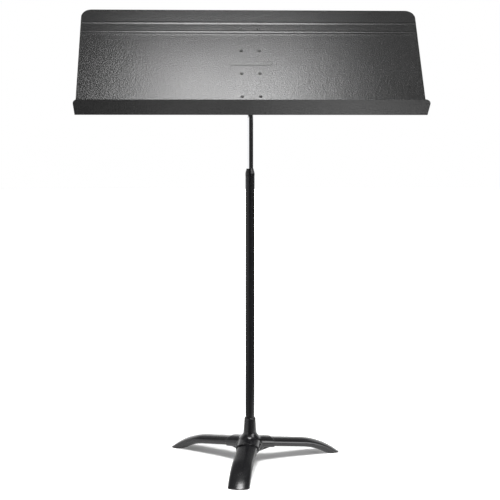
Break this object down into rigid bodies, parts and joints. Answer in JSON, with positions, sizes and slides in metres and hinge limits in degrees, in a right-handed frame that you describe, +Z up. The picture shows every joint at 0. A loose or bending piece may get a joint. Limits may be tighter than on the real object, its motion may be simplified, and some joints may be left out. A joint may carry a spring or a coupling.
{
  "type": "music stand",
  "caption": "Orchestral music stand: wide folded sheet-metal desk on a tilting head, a rod held at any height by a friction clutch in a tube, and a low tripod base of curved legs.",
  "frame": {"origin": "on the floor, under the middle of the whole stand's footprint; the shaft's axis stands 37.6 mm behind it", "axes": "+Z up, the desk faces -Y towards the player, X along the desk's width"},
  "size_m": [0.8128, 0.4055, 1.1057],
  "materials": {
    "desk_black": "fine textured black powder coat",
    "gloss_black": "gloss black enamel",
    "satin_black": "satin black enamel",
    "bracket_black": "black powder coat",
    "chrome": "polished chrome plate",
    "zinc": "bright zinc plate",
    "steel": "turned steel",
    "bronze": "spring bronze",
    "nylon": "moulded nylon",
    "fibre": "pressed fibre",
    "rubber": "moulded rubber"
  },
  "bodies": {
    "base": {"base_hub": "gloss_black", "leg_front": "gloss_black", "leg_right": "gloss_black", "leg_left": "gloss_black", "foot_pad_front": "rubber", "foot_pad_right": "rubber", "foot_pad_left": "rubber", "leg_screws": "zinc", "leg_nuts": "zinc", "outer_tube": "satin_black", "tube_insert": "steel", "shaft_washer": "zinc", "shaft_bolt": "zinc"},
    "clutch": {"clutch_collar": "satin_black", "clutch_sleeve": "bronze", "clutch_band": "steel"},
    "rod": {"inner_rod": "chrome", "rod_plug": "nylon", "tilt_head": "steel"},
    "desk": {"desk_panel": "desk_black", "desk_rivets": "desk_black", "back_bracket": "bracket_black", "pivot_washers": "zinc", "friction_washers": "fibre", "spring_washer": "zinc", "pivot_nut": "zinc", "pivot_bolt": "zinc"}
  },
  "joints": [
    {"name": "swivel", "type": "hinge", "parent": "base", "child": "clutch", "pos_m": [0, 0.0376, 0.705], "axis": [0, 0, 1], "continuous": true},
    {"name": "height", "type": "slide", "parent": "clutch", "child": "rod", "axis": [0, 0, 1], "range_m": [-0.19, 0.293]},
    {"name": "tilt", "type": "hinge", "parent": "rod", "child": "desk", "pos_m": [0, 0.0376, 0.9535], "axis": [1, 0, 0], "range_deg": [-53.7, 36.3]}
  ]
}
